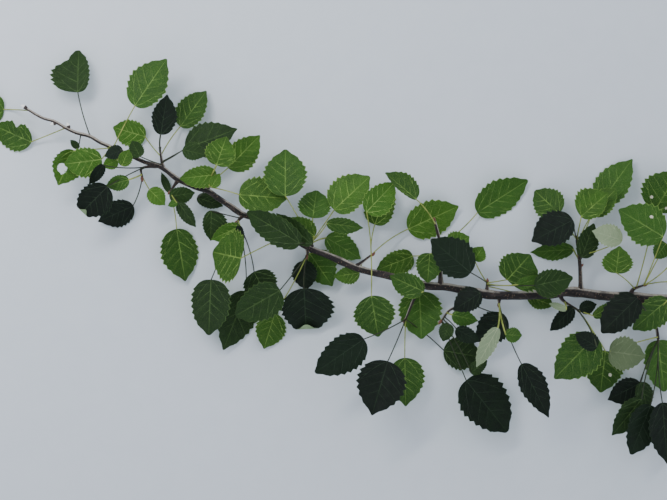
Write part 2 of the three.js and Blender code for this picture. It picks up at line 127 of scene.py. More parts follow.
# How far veins go: the midrib along the blade, the others to the plain margin.
MIDRIB_END, FORK_END, SIDE_VEIN_END = 0.965, 0.86, 0.84
# The strong veins from the base: start, rise and spread.
BASAL_START, BASAL_RISE, BASAL_SPREAD = 0.015, 0.5, 0.86
# Their forks: the part of the vein where each leaves it, and its rise, and the least spread of one.
FORKS = ((0.22, 0.05), (0.45, 0.07), (0.68, 0.09))
FORK_LEAST = 0.08
# Forms of veins: half width at the foot, what it loses to the end, and half height, the same.
MIDRIB = (0.62, 0.48, 0.4, 0.24)
CUT_MIDRIB = (0.62, 0.2, 0.4, 0.12)
BASAL_VEIN = (0.52, 0.38, 0.34, 0.18)
FORK_VEIN = (0.32, 0.22, 0.28, 0.14)
SIDE_VEIN = (0.4, 0.26, 0.3, 0.14)

STALK_RADIUS, STALK_BOW = 0.75, 0.05
STALK_SIDES, STALK_ROWS = 6, 13
# A round stalk is fuller than the solids' triangle.
STALK_FULLNESS, STALK_FOOT, STALK_FOOT_LENGTH = 1.4, 0.5, 0.05
STALK_TAPER, STALK_FLATNESS = 0.12, 0.8

# How the leaves settle on each other, by the same rule as the solids.
CELL = 4.0
SPARE_CELLS = 3
LAYER_GAP = 2.2
LEAST_GAIN = 0.01
STALK_CLEAR_FROM = 0.15
DRIFT, DRIFT_DOWN = 14.0, 0.4
FINE = 0.05
SEEDS_A_SHOOT = 20
# The sine from which chance is drawn.
CHANCE_PITCH, CHANCE_START, CHANCE_SIZE = 12.9898, 4.1414, 43758.5453

# Each shoot: where its foot is on the main stem, its path from there [right, up] and its leaves.
# A leaf: part of the path at its root, blade base from the foot right and up, blade from there right and
# up, width, tone (the keys of TONES, most of which paint the leaf's light or shade) and storey (0 under
# the stem, 1 beside it, 2 over all), and for a lopsided one how much wider its left half is.
SHOOTS = {
    "tip_shoot": (731, [[-19, 8], [-31, 15], [-49, 20], [-62, 26], [-76, 34], [-91, 38.5], [-111, 50]], [
        [0.96, -142, 50, -48, 6, 45, "m0"], [0.55, -107, 9, -49, 22, 41, "m0"],
        [0.28, -47, 71, 0, 54, 54, "s1", 0.4], [0.38, -45, 1, -11, 10, 10, "s1"],
        [0.02, 26, 53, 40, 59, 53, "m1"], [0.02, -51, -3, -20, -44, 40, "b1"],
        [0.05, -16, -14, -47, -6, 40, "l1"], [0.05, 4, -15, -19, -8, 18, "l1"],
        [0.03, 11, -3, -23, -8, 20, "d2"], [0.06, 11, -22, 9, 21, 19, "b2"],
    ]),
    "spur_01_below": (679, [[-19, -4], [-18, -14]], [
        [0.5, -65, 0, -18, -24, 15, "d1"], [0.9, -34, -18, -29, -8, 21, "m1"],
        [0.5, -60, -27, -37, -37, 45, "d1"], [1, -31, -50, -45, -20, 37, "d0"],
        [0.95, -9, -30, 20, -20, 25, "b1"],
    ]),
    "spur_02_above": (671, [[-4, 25]], [
        [0.6, -24, 41, -41, 12, 37, "l0"], [0.9, -1, 42, 8, 50, 33, "d1"],
        [0.65, 21, 54, 33, 45, 40, "m0"], [0.35, 29, 25, 65, 25, 46, "s1"],
        [0.3, 26, 23, 30, -7, 25, "s1"], [0.2, -28, 15, -10, 20, 21, "s1"],
    ]),
    "spur_03_below": (652, [[-10, -15]], [
        [0.9, -12, -15, -11, 26, 11, "s0"], [0.95, -10, -21, 32, 5, 24, "s1"],
        [1, 1, -29, 22, -31, 19, "s1"], [1, -3, -62, 11, -66, 51, "m0", -0.13],
        [1, -1, -29, -12, -4, 10, "m1"],
    ]),
    "spur_04_above": (615, [[-1, 9]], [
        [1, 12, 32, 13, 35, 41, "b2"], [1, 26, 29, 40, 41, 41, "b1"], [0.9, 11, 20, -46, -5, 30, "b1"],
        [0.9, 6, 5, 10, 17, 15, "b1"], [0.6, 40, -5, 60, -5, 50, "b1"],
        [0.4, -14, -8, 33, -11, 21, "s0"],
    ]),
    "spur_05_below": (571, [[-7, -9]], [
        [0.5, -39, 4, -1, -38, 34, "s1", 0.27], [0.9, -3, -15, -37, -17, 25, "l1"],
        [1, -5, -15, 5, -22, 11, "d1"], [1, 14, -72, 17, -33, 48, "s1"],
        [1, 3, -97, -29, -74, 50, "s0"], [1, -40, -82, -3, -70, 55, "s1", 0.12],
    ]),
    "long_stalk_leaf": (515, [[-3, -7]], [
        [0.9, -58, -34, -35, 8, 70, "b2"],
    ]),
    "shoot_06_above": (486, [[1, 9]], [
        [0.9, -14, 7, -66, 40, 39, "s2"], [0.9, -32, 66, 0, 59, 58, "m2"], [1, 2, 39, 5, 35, 44, "m1"],
        [1, 4, 16, -29, 24, 30, "b1"], [0.9, 1, 6, -45, 39, 25, "s1"],
        [1, 29, 49, 45, 42, 50, "b1", 0.1], [1, 20, 32, 46, -6, 22, "m1"],
        [0.8, 19, 14, 44, -27, 34, "m0"],
    ]),
    "shoot_06_below": (490, [[-1, -10]], [
        [0.8, 2, -8, 29, -42, 44, "m0", 0.2], [0.9, -5, -18, 3, -37, 34, "d0"],
        [1, -5, -52, 3, -60, 70, "d1", 0.1], [1, -35, -54, -56, -32, 50, "s1"],
        [1, -42, -84, -14, -45, 42, "b0"],
    ]),
    "spur_07_above": (431, [[20, 15]], [
        [1, 67, 48, 64, 29, 51, "b0", 0.08], [1, 25, 54, 19, 51, 40, "b0"],
        [1, 14, 69, 36, 38, 40, "l1"], [1, 20, -36, 9, -52, 55, "m1"], [0.4, 5, -7, -33, -5, 25, "b0"],
    ]),
    "side_twig_08": (324, [[-1, 36], [-2, 58], [-8, 82]], [
        [0.62, 47, 93, 64, 41, 46, "m0", 0.15], [0.95, -32, 109, -39, 33, 26, "m1", -0.45],
        [0.5, -35, 38, -46, -18, 35, "b0"], [0.5, -14, 41, -3, -37, 36, "m1"],
        [0.5, 9, 47, 28, 16, 36, "b1"],
    ]),
    "spur_09_below": (345, [[-10, -13], [-23, -43]], [
        [0.3, -1, -8, -43, 20, 34, "m2"], [0.2, -5, -10, 2, -59, 60, "m0"],
        [1, -76, -67, -61, -42, 50, "d1"], [1, -46, -95, -20, -67, 68, "d2"],
        [1, -24, -92, 1, -61, 50, "m1"], [1, 26, -83, 49, -9, 46, "s0"],
    ]),
    "shoot_10_below": (278, [[-4, -9], [-35, -22], [-45, -35]], [
        [1, -14, -110, 52, -65, 66, "d1"], [1, -8, -100, 21, 16, 18, "s1"],
        [0.1, 2, 0, -34, -22, 32, "d2"], [0.3, 34, -29, -38, -33, 44, "d1"],
        [0.8, -32, -27, 33, -8, 23, "m1"], [0.9, -27, -45, 30, -16, 22, "d1"],
        [0.95, -36, -39, -8, -22, 20, "s1"],
    ]),
    "spur_11_above": (266, [[0, 14]], [
        [1, -22, 27, -50, 42, 52, "d2"], [1, -16, 43, 11, 17, 24, "b1"],
        [1, 25, 18, 28, 32, 64, "m1", -0.2], [0.9, 37, 12, 30, 9, 16, "m1"],
        [0.8, 58, 11, 48, 10, 38, "s1"], [0.7, 52, -3, 34, -13, 26, "b0"],
    ]),
    "shoot_12_below": (251, [[0, -10]], [
        [1, -4, -40, -27, -49, 22, "p2"], [1, 6, -48, 21, -1, 21, "m1"],
        [1, 26, -85, 34, -67, 37, "d1"],
    ]),
    "spur_13_below": (174, [[2, -8], [22, -22]], [
        [1, 15, -19, -29, -29, 23, "d1"], [1, 24, -20, 22, 6, 20, "d1"],
        [1, 41, -54, -52, -53, 60, "m1"], [1, 41, -66, -27, 16, 25, "d1"],
        [1, 41, -29, 30, 17, 17, "b1"], [0.4, 6, -21, -22, 8, 10, "p2"],
        [1, 58, -74, -8, -52, 54, "m0"],
    ]),
    "side_twig_14": (148, [[-2, 37], [-6, 67]], [
        [1, -28, 100, -30, 29, 43, "m1"], [0.95, -12, 91, -52, -27, 47, "d2"],
        [0.6, -9, 55, -55, -4, 25, "m0"], [1, -1, 96, 34, 30, 44, "b2", 0.3],
        [0.9, 12, 99, 32, 32, 35, "b1"], [0.9, 21, 108, 45, 61, 45, "m0"],
        [0.6, 0, 45, 15, 43, 30, "s1"], [0.7, 49, 66, -38, 12, 32, "p1"],
    ]),
    "spur_15_above": (85, [[2, 9], [16, 15]], [
        [0.5, -21, 31, 3, 34, 41, "b1"], [1, 37, 76, -56, 34, 57, "m2"],
        [0.6, 31, 110, 28, 49, 60, "m1", 0.15], [1, 44, 67, -15, -19, 25, "m1"],
        [1, 55, 19, 45, 9, 50, "m1"], [1, 50, 44, 35, 28, 45, "b1"],
    ]),
    "side_twig_16": (75, [[10, -16], [21, -36], [24, -52]], [
        [0.5, -5, 0, -45, -44, 45, "d2"], [0.95, -40, -66, 44, -6, 45, "g2"],
        [1, 0, -107, -41, -21, 37, "d1"], [1, 1, -106, 9, -36, 25, "s1"],
        [0.9, 24, -54, 8, -65, 52, "m0"], [1, 1, -126, -38, -46, 36, "s1"],
        [1, 12, -134, -25, -62, 45, "d1"], [1, 27, -131, 6, -77, 50, "d1"],
        [0.5, 34, -3, -44, -37, 42, "m1"],
    ]),
}

# Leaves that have something of their own: a tip turned over, a hole (part of the length, half widths
# across, radius), or pale spots (the same, for each).
CURLED = {("spur_01_below", 2), ("shoot_06_below", 2)}
HOLES = {("tip_shoot", 5): (0.546, -0.18, 7.0)}
SPOTS = {
    ("spur_15_above", 1): [(0.385, -0.45, 2.2)],
    ("spur_15_above", 2): [(0.219, 0.365, 2.0), (0.166, -0.4, 1.8)],
    ("spur_13_below", 6): [(0.559, 0.345, 2.2)],
}
# Leaves with a bitten margin: part of the length, its reach, side (1 left), and depth in half widths.
BITES = {("tip_shoot", 1): (0.46, 0.07, -1, 0.4), ("tip_shoot", 2): (0.8, 0.17, 1, 0.5)}
HOLE_RINGS = 9
# Side veins so close to a hole along the blade are left out.
HOLE_CLEARS = 0.22
SPOT_RINGS, SPOT_SIDES, SPOT_EDGE, SPOT_RISE = 7, 18, 0.04, 0.2

# Buds beside the ends of the shoots: shoot, part of its path, side, and whether it is whitish.
SIDE_BUDS = [
    ("tip_shoot", 0.66, 1, True), ("tip_shoot", 0.52, -1, True), ("side_twig_16", 0.62, 1, False),
    ("side_twig_14", 0.5, -1, False), ("side_twig_08", 0.68, 1, False), ("shoot_10_below", 0.6, 1, False),
]
SIDE_BUD_SIZES = {True: 1.2, False: 0.7}
SIDE_BUD_SUNK, SIDE_BUD_LEAN = 0.6, 0.9
WHITISH_ENDS = {LEADING, "spur_02_above"}
# An end bud's least size, how far sizes differ, and what the leading one has more.
END_BUD_SIZE, END_BUD_SPREAD, END_BUD_SEED, LEADING_BUD_EXTRA = 0.75, 0.3, 300, 0.55
BUD_LENGTH, BUD_RADIUS, BUD_SUNK, BUD_BEND = 7.5, 2.0, 1.0, 0.5
BUD_SIDEWAYS = np.array([0.2, 0.3, 1.0])
BUD_SIDES, BUD_RINGS, BUD_END, BUD_MARK = 12, 18, 0.985, 8
SCALE_TURNS, SCALE_STEP = 4, 0.1

FLOOR_REACH = 6.0
# Each light: its place and size in metres, and its power.
LIGHTS = {
    "main_light": ((-1.1, 1.3, 2.2), 1.4, 95.0),
    "side_light": ((1.8, -1.2, 1.6), 2.0, 26.0),
    "low_light": ((0.1, 2.9, 0.75), 0.5, 60.0),
}
SKY_STRENGTH = 1.05


def between(rows, place):
    """The value of a table at a place between its rows."""
    return np.interp(place, rows[:, 0], rows[:, 1])


def chance(seed):
    """A repeatable number from 0 to 1: the part of a large sine after its point."""
    wave = np.sin(seed * CHANCE_PITCH + CHANCE_START) * CHANCE_SIZE
    return wave - np.floor(wave)


def unit(vectors):
    return vectors / np.maximum(np.linalg.norm(vectors, axis=-1, keepdims=True), TINY)


def round_turn(sides):
    """Angles spread evenly round a whole turn."""
    return 2 * np.pi * np.arange(sides) / sides


def joined(*values):
    """Arrays of numbers, spread to the same shape and joined as vectors."""
    return np.stack(np.broadcast_arrays(*values), axis=-1)


def fine_steps(start=0.0):
    """Parts of a line from a start on, added up one by one as the solids' source does it."""
    steps = np.add.accumulate(np.append(start, np.full(int(1 / FINE), FINE)))
    return steps[steps <= 1]


def smooth_line(points, divisions=200):
    """A line through points, as a function of the part of its length, and its length. Between two points
    it is a cubic, whose slopes come from the neighbours, weighed by the roots of their distances."""
    p = np.asarray(points, float)
    far = np.vstack([2 * p[0] - p[1], p, 2 * p[-1] - p[-2]])
    gaps = np.sum(np.diff(far, axis=0) ** 2, axis=1) ** 0.25

    def at(t):
        place = np.clip(t, 0, 1) * (len(p) - 1)
        k = np.minimum(place.astype(int), len(p) - 2)
        w = (place - k)[..., None]
        a, b, c, d = (far[k + i] for i in range(4))
        before, here, after = (gaps[k + i][..., None] for i in range(3))
        leaving = ((b - a) / before - (c - a) / (before + here) + (c - b) / here) * here
        arriving = ((c - b) / here - (d - b) / (here + after) + (d - c) / after) * here
        square = -3 * b + 3 * c - 2 * leaving - arriving
        cube = 2 * b - 2 * c + leaving + arriving
        return b + leaving * w + square * w ** 2 + cube * w ** 3

    steps = np.linspace(0, 1, divisions + 1)
    run = np.append(0, np.cumsum(np.linalg.norm(np.diff(at(steps), axis=0), axis=1)))
    return (lambda part: at(np.interp(np.asarray(part, float) * run[-1], run, steps))), run[-1]


def stem_point(reach):
    """A point of the main stem's centre line: left by reach, across and up by its tables."""
    reach = np.asarray(reach, float)
    return joined(-reach, between(STEM_PATH, reach), between(STEM_HEIGHT, reach))


def half_width(t, keenness):
    """A plain blade's half width, at most 1, at a part t of its length: a power of a sine whose angle
    runs faster near the base. A keener blade has a higher power."""
    bend = np.clip(np.sin(np.pi * np.clip(t, 0, 1) ** BLADE_WIDEST), 0, 1)
    return bend ** (keenness * (BLADE_BASE + (BLADE_TIP - BLADE_BASE) * t))


def blade_frame(leaf, way):
    """The directions and sizes of a blade from how it looks from above, tilted to one of four ways."""
    seen = np.hypot(leaf.right, leaf.up)
    narrow = min(1, leaf.width / (BLADE_ROUNDNESS * seen))
    short = min(1, BLADE_ROUNDNESS * seen / leaf.width)
    roll = min(MAX_TILT, np.arccos(narrow)) * (1 if way & 1 else -1)
    pitch = min(MAX_TILT, np.arccos(short)) * (1 if way & 2 else -1)
    heading = np.array([leaf.right / seen, leaf.up / seen, 0])
    across = np.array([-heading[1], heading[0], 0])
    axis = heading * np.cos(pitch) + UP * np.sin(pitch)
    side = across * np.cos(roll) + np.cross(axis, across) * np.sin(roll)
    half = leaf.width / np.cos(roll) / 2
    return SimpleNamespace(axis=axis, side=side, normal=np.cross(axis, side), keenness=leaf.keenness,
                           length=seen / np.cos(pitch), half=half, size=min(1.0, half / FULL_HALF),
                           skew=leaf.skew)


def levelling(t):
    """The part of its height that a stalk has reached at a part t of its way."""
    return 1 - (1 - t) ** 2


def stalk_points(root, base, t, bow):
    """Points of a leaf stalk: a plan line bowed to one side by bow·4t(1-t), levelling out in height."""
    run = base - root
    aside = bow * 4 * t * (1 - t)
    return joined(root[0] + run[0] * t - run[1] * aside, root[1] + run[1] * t + run[0] * aside,
                  root[2] + run[2] * levelling(t))


class Heap:
    """The highest thing that each owner has over each plan cell."""

    def __init__(self, owners, low, high):
        self.low = np.floor(low / CELL).astype(int) - SPARE_CELLS
        size = np.ceil(high / CELL).astype(int) + SPARE_CELLS + 1 - self.low
        self.order = {owner: i for i, owner in enumerate(owners)}
        self.tops = np.zeros((len(owners), *size))

    def cells(self, points):
        return (np.floor(points[:, :2] / CELL + 0.5).astype(int) - self.low).T

    def pile(self, points, margin, owner):
        x, y = self.cells(points)
        np.maximum.at(self.tops[self.order[owner]], (x, y), points[:, 2] + margin)

    def top(self, points, owner=None):
        """The highest thing over the nine cells round each place that belongs to another owner."""
        others = [i for name, i in self.order.items() if name != owner]
        level = self.tops[others].max(axis=0)
        x, y = self.cells(points)
        around = [level[x + i, y + j] for i in (-1, 0, 1) for j in (-1, 0, 1)]
        return np.max(around, axis=0)


def blade_samples(shape):
    """Points spread over a blade whose base is at the origin, half a cell apart."""
    u = np.arange(0, shape.length + TINY, CELL / 2)
    reach = half_width(u / shape.length, shape.keenness) * shape.half
    v = -reach[:, None] + CELL / 2 * np.arange(int(shape.half) + 2)
    inside = v <= reach[:, None]
    u_all = np.concatenate([np.broadcast_to(u[:, None], v.shape)[inside], u])[:, None]
    v_all = np.concatenate([v[inside], reach])[:, None]
    return (shape.axis * u_all + shape.side * v_all * (1 + shape.skew * np.sign(v_all))
            + shape.normal * BLADE_FOLD * np.abs(v_all))


def resting_height(leaf, shape, heap):
    """The least height of a blade's base at which it and its stalk clear everything under them."""
    wanted = 0 if leaf.storey == 0 else leaf.root[2] + DRIFT * (chance(leaf.seed) - DRIFT_DOWN)
    samples = blade_samples(shape)
    top = heap.top(samples + leaf.base)
    gap = np.where(top > 0, LAYER_GAP, BLADE_THICKNESS / 2)
    height = max(wanted, BLADE_THICKNESS, np.max(top + gap - samples[:, 2]))
    t = fine_steps(STALK_CLEAR_FROM)
    top = heap.top(stalk_points(leaf.root, leaf.base, t, leaf.bow), leaf.owner)
    lifts = leaf.root[2] + (top + LAYER_GAP - leaf.root[2]) / levelling(t)
    return max(height, np.max(lifts[top > 0], initial=0))


def settle(leaf, heap):
    """Tilts a leaf the way that lets it lie lowest, and piles it on the heap."""
    best = None
    for way in range(4):
        shape = blade_frame(leaf, way)
        height = resting_height(leaf, shape, heap)
        if best is None or height < best[1] - LEAST_GAIN:
            best = shape, height
    leaf.shape, leaf.base[2] = best
    heap.pile(blade_samples(leaf.shape) + leaf.base, BLADE_THICKNESS / 2, leaf.owner)
    heap.pile(stalk_points(leaf.root, leaf.base, fine_steps(), leaf.bow), STALK_RADIUS, leaf.owner)


def grow():
    """Every shoot with its line, and every leaf settled at its place."""
    shoots, leaves = [], []
    for order, (name, (foot, path, rows)) in enumerate(SHOOTS.items()):
        radius, tip_radius, lift = WOOD.get(name, SPUR)
        start = stem_point(foot)
        rise = lift * np.arange(1, len(path) + 1) / len(path)
        line, length = smooth_line(np.vstack([start, start + np.column_stack([path, rise])]))
        shoots.append(SimpleNamespace(name=name, foot=foot, line=line, length=length, radius=radius,
                                      tip_radius=tip_radius))
        for i, (part, base_right, base_up, right, up, width, (tone, storey), *skew) in enumerate(rows):
            seed = SEEDS_A_SHOOT * order + i
            leaves.append(SimpleNamespace(
                owner=name, name=(name, i), seed=seed, root=line(part),
                base=np.array([start[0] + base_right, start[1] + base_up, 0]),
                right=right, up=up, width=width, tone=tone, storey=int(storey), skew=sum(skew),
                bow=STALK_BOW * (2 * chance(seed + 0.5) - 1),
                keenness=KEEN_LEAST + KEEN_SPREAD * chance(seed + 0.3),
                wave=chance(seed + 0.25), swing=chance(seed + 0.75), luck=chance(seed + 0.9),
            ))
    places = np.array([leaf.base for leaf in leaves])
    stem = stem_point(STEM_PATH[:, 0])
    reach = max(max(leaf.width, np.hypot(leaf.right, leaf.up)) for leaf in leaves) + CELL
    low = np.minimum(places.min(0), stem.min(0))[:2] - reach
    high = np.maximum(places.max(0), stem.max(0))[:2] + reach
    heap = Heap(["main_stem"] + [shoot.name for shoot in shoots], low, high)

    def settle_storey(storey):
        for leaf in leaves:
            if leaf.storey == storey:
                settle(leaf, heap)

    settle_storey(0)
    stations = np.arange(0, STEM_END + 1, CELL)
    radius = between(STEM_DIAMETER, stations) / 2
    for side in (-1, 0, 1):
        centre = stem_point(stations)
        centre[:, 1] += side * radius
        heap.pile(centre, radius, "main_stem")
    for shoot in shoots:
        heap.pile(shoot.line(fine_steps()), shoot.radius, shoot.name)
    settle_storey(1)
    settle_storey(2)
    return shoots, leaves


def add_object(name, data):
    """An object at the origin of the scene."""
    obj = bpy.data.objects.new(name, data)
    bpy.context.scene.collection.objects.link(obj)
    return obj


class Forms:
    """Many small closed forms that become one mesh, which stands for some of the solids."""

    def __init__(self, nodes=()):
        self.points, self.marks, self.faces, self.finish = [], [], [], []
        self.nodes = sorted(set(nodes))
        self.count = 0

    def add(self, rings, marks=None, finish=None, looped=False):
        """A closed skin over rings of points: each is joined to the next, and the ends are drawn together
        to their middles, or joined in a loop. Marks are a vector for each point, and finish a number for
        each column of faces. Faces of finish 1 start at their second corner, so a thin blade's lower skin
        folds along the same diagonals as its upper one."""
        n, k = rings.shape[:2]
        column = np.arange(k)
        after = (column + 1) % k
        row = np.arange(n if looped else n - 1)[:, None] * k
        further = (row + k) % (n * k)
        quads = np.stack([row + column, row + after, further + after, further + column], axis=-1)
        quads = quads.reshape(-1, 4)
        finish = np.zeros(k, int) if finish is None else finish
        lower = np.tile(finish, len(row)) == 1
        quads[lower] = np.roll(quads[lower], -1, axis=1)
        last = (n - 1) * k
        start = np.column_stack([after, column, np.full(k, n * k)])
        end = np.column_stack([last + column, last + after, np.full(k, n * k + 1)])
        caps = np.vstack([start, end])[:0 if looped else None]
        ends = [] if looped else [0, -1]
        points = np.vstack([rings.reshape(-1, 3), *(rings[i].mean(0) for i in ends)])
        triangles = np.vstack([quads[:, :3], quads[:, [0, 2, 3]], caps])
        a, b, c = (points[triangles[:, i]] - points[0] for i in range(3))
        if np.sum(a * np.cross(b, c)) < 0:
            quads, caps = quads[:, ::-1], caps[:, ::-1]
        self.points.append(points)
        if marks is not None:
            self.marks.append(np.vstack([marks.reshape(-1, 3), *(marks[i].mean(0) for i in ends)]))
        self.faces += (quads + self.count).tolist() + (caps + self.count).tolist()
        self.finish += np.tile(finish, len(row) + len(ends)).tolist()
        self.count += len(points)

    def piece(self, name, finishes, slot, crease=55):
        """The forms as one object that rides on the branch."""
        mesh = bpy.data.meshes.new(name)
        mesh.from_pydata((np.vstack(self.points) + shift) * MM, [], self.faces)
        if self.marks:
            mesh.attributes.new("marks", "FLOAT_VECTOR", "POINT").data.foreach_set(
                "vector", np.vstack(self.marks).astype(np.float32).ravel())
        for finish in finishes:
            mesh.materials.append(finish)
        mesh.polygons.foreach_set("material_index", self.finish)
        mesh.polygons.foreach_set("use_smooth", [True] * len(self.faces))
        mesh.set_sharp_from_angle(angle=np.radians(crease))
        mesh.update()
        obj = add_object(name, mesh)
        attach(obj, "root")
        if self.nodes:
            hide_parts(*self.nodes)


def rings_along(centre, radius, sides, first=None, flat=1.0):
    """Rings carried along a line: centre + radius·(cos a·first + flat·sin a·second), where first lies
    across the line and second across both. Each ring, or each of its points, has its radius."""
    along = unit(np.gradient(centre, axis=0))
    if first is None:
        chord = unit(centre[-1] - centre[0])
        first = np.eye(3)[np.argmin(np.abs(chord))]
    first = unit(first - along * np.sum(along * first, axis=-1, keepdims=True))
    second = np.cross(along, first)
    angle = round_turn(sides)[None, :, None]
    radius = radius[:, None] if radius.ndim == 1 else radius
    spoke = np.cos(angle) * first[:, None] + flat * np.sin(angle) * second[:, None]
    return centre[:, None] + radius[..., None] * spoke


def bark_marks(along, radius, sides):
    """Distance along the wood, and the two places across it, so a pattern has no seam."""
    angle = round_turn(sides)
    return joined(along[:, None], radius[:, None] * np.cos(angle), radius[:, None] * np.sin(angle))


def knobbly(along, sides, size, seed):
    """Slow unevenness of bark: three sines, each of the distance along and of whole turns round."""
    x, angle = along[:, None], round_turn(sides)
    return size * sum(share * np.sin(x / length + turns * angle + start * seed)
                      for share, length, turns, start in KNOBS)


def main_stem_forms():
    """The main stem's bark: the tapering radius, with a bell curve at each shoot's foot and each year's
    start, and slow unevenness."""
    line, length = smooth_line(stem_point(STEM_PATH[:, 0]))
    part = np.linspace(0, 1, int(length / STEM_STEP) + 1)
    reach = part * STEM_END
    radius = between(STEM_DIAMETER, reach) / 2
    feet = np.array([foot for foot, *_ in SHOOTS.values()], float)
    bells = np.exp(-((reach[:, None] - feet) / NODE_LENGTH) ** 2).max(axis=1)
    rings = np.exp(-((reach[:, None] - YEAR_RINGS) / YEAR_RING_WIDTH) ** 2).max(axis=1)
    rough = radius * (1 + NODE_SWELLING * bells) + YEAR_RING_HEIGHT * rings
    rough = rough[:, None] + knobbly(reach, STEM_SIDES, STEM_KNOBS, 1.0) - STEM_SINKS
    rough[0] -= CUT_RIM
    forms = Forms(["main_stem"])
    forms.add(rings_along(line(part), rough, STEM_SIDES, UP), bark_marks(reach, radius, STEM_SIDES))
    return forms, line


def cut_forms(line):
    """The cut end: a low dome of pale wood, whose height falls as the sixth power of the way out."""
    end = line(0.0)
    way = unit(end - line(0.01))
    out = np.linspace(1, 0.02, CUT_RINGS)
    rise = np.append(-CUT_DEPTH, CUT_DOME * (1 - out ** 6))
    radius = (STEM_DIAMETER[0, 1] / 2 - CUT_INSET) * np.append(1, out)
    forms = Forms(["main_stem"])
    forms.add(rings_along(end + rise[:, None] * way, radius, STEM_SIDES, np.cross(way, UP)),
              np.roll(bark_marks(0 * radius, radius, STEM_SIDES), -1, axis=-1))
    return forms


def twig_forms(shoots):
    """The wood of every shoot: a tapering tube, whose collar outside the stem falls off as e to the minus
    distance, with the close rings of slow years, the sixth power of a cosine of the distance."""
    names = [shoot.name for shoot in shoots]
    forms = Forms(names + [name.replace("side_twig", "tuft") for name in names])
    for order, shoot in enumerate(shoots):
        leading = shoot.name == LEADING
        rings = max(TWIG_LEAST_RINGS, int(shoot.length / TWIG_STEP))
        part = np.linspace(STEM_GAP / shoot.length if leading else 0, 1, rings)
        along = part * shoot.length
        radius = shoot.radius + (shoot.tip_radius - shoot.radius) * part
        ripple = SPUR_RING_HEIGHT * np.abs(np.cos(np.pi * along / SPUR_RING_PITCH)) ** 6
        rough = radius * (1 + ripple * (LONG_WOOD_RINGS if shoot.radius > LONG_WOOD_RADIUS else 1))
        if not leading:
            outside = np.maximum(along - between(STEM_DIAMETER, shoot.foot) / 2, 0)
            rough += COLLAR * np.exp(-outside / COLLAR_LENGTH)
        rough = rough[:, None] + knobbly(along, TWIG_SIDES, TWIG_KNOBS, order)
        forms.add(rings_along(shoot.line(part), rough, TWIG_SIDES, UP),
                  bark_marks(along + TWIGS_APART * order, radius, TWIG_SIDES))
    return forms


def bud_forms(shoots):
    """Buds: a pointed form whose radius is the power 0.9 of a sine of the way along, stepped by a spiral
    of scales, on a line bent aside by half a sine wave."""
    kinds = {True: Forms(), False: Forms()}
    q = np.linspace(0, BUD_END, BUD_RINGS)[:, None]
    scale = (SCALE_TURNS * q + np.arange(BUD_SIDES) / BUD_SIDES) % 1

    def bud(whitish, foot, way, size):
        turn = unit(np.cross(way, BUD_SIDEWAYS))
        aside = turn * BUD_BEND * size * np.sin(np.pi * q)
        centre = foot + way * (BUD_LENGTH * size * q - BUD_SUNK) + aside
        radius = BUD_RADIUS * size * np.sin(np.pi * (0.2 + 0.8 * q)) ** 0.9 * (1.04 - SCALE_STEP * scale)
        kinds[whitish].add(rings_along(centre, radius, BUD_SIDES, turn), joined(BUD_MARK * q, scale, 0.0))

    for order, shoot in enumerate(shoots):
        before, end = shoot.line(np.array([0.97, 1.0]))
        size = END_BUD_SIZE + END_BUD_SPREAD * chance(order + END_BUD_SEED)
        bud(shoot.name in WHITISH_ENDS, end, unit(end - before),
            size + LEADING_BUD_EXTRA * (shoot.name == LEADING))
    by_name = {shoot.name: shoot for shoot in shoots}
    for name, part, side, whitish in SIDE_BUDS:
        shoot = by_name[name]
        here, further = shoot.line(np.array([part, part + 0.02]))
        along = unit(further - here)
        out = unit(np.cross(UP, along)) * side
        bud(whitish, here + out * shoot.radius * SIDE_BUD_SUNK, unit(along + SIDE_BUD_LEAN * out),
            SIDE_BUD_SIZES[whitish])
    return kinds


def blade_surface(leaf, t, y, w=0.0):
    """A blade's surface at t of its length and y half widths across, w above its middle. Its lift is the
    fold·|y|, pillows between the side veins, (1-cos)/2 of the veins' phase times 4|y|(1-|y|), and a wavy
    margin, y squared times (1+sin)/2. In a tip turned over, u and w follow an arc and then a straight
    line back. A bite draws one side in by a bell curve of t."""
    shape = leaf.shape
    t, y, w = (np.asarray(x, float)[..., None] for x in np.broadcast_arrays(t, y, w))
    far = np.abs(y)
    phase = (t - VEIN_SLANT * far) / VEIN_PITCH
    pillows = (1 - np.cos(2 * np.pi * phase)) / 2 * 4 * far * np.clip(1 - far, 0, 1)
    waves = (1 + np.sin(2 * np.pi * (MARGIN_WAVES * t + leaf.wave + WAVES_APART * np.sign(y)))) / 2
    lift = BLADE_FOLD * far * shape.half + shape.size * (PILLOW * pillows + MARGIN_WAVE * y ** 2 * waves)
    u = t * shape.length
    if leaf.name in CURLED:
        w = w + lift * np.clip((CURL_FROM - t) / CURL_FLATTENS, 0, 1)
        past = np.clip(u - CURL_FROM * shape.length, 0, None)
        turn = np.minimum(past / CURL_RADIUS, CURL_TURN)
        beyond = past - turn * CURL_RADIUS
        u = u - past + (CURL_RADIUS - w) * np.sin(turn) + beyond * np.cos(turn)
        w = CURL_RADIUS - (CURL_RADIUS - w) * np.cos(turn) + beyond * np.sin(turn)
    else:
        w = w + lift
    across = y * shape.half * (1 + shape.skew * np.sign(y))
    if leaf.name in BITES:
        place, reach, side, depth = BITES[leaf.name]
        across *= 1 - depth * np.exp(-((t - place) / reach) ** 2) * (side * y > 0)
    return leaf.base + shape.axis * (u - STALK_RADIUS) + shape.side * across + shape.normal * w


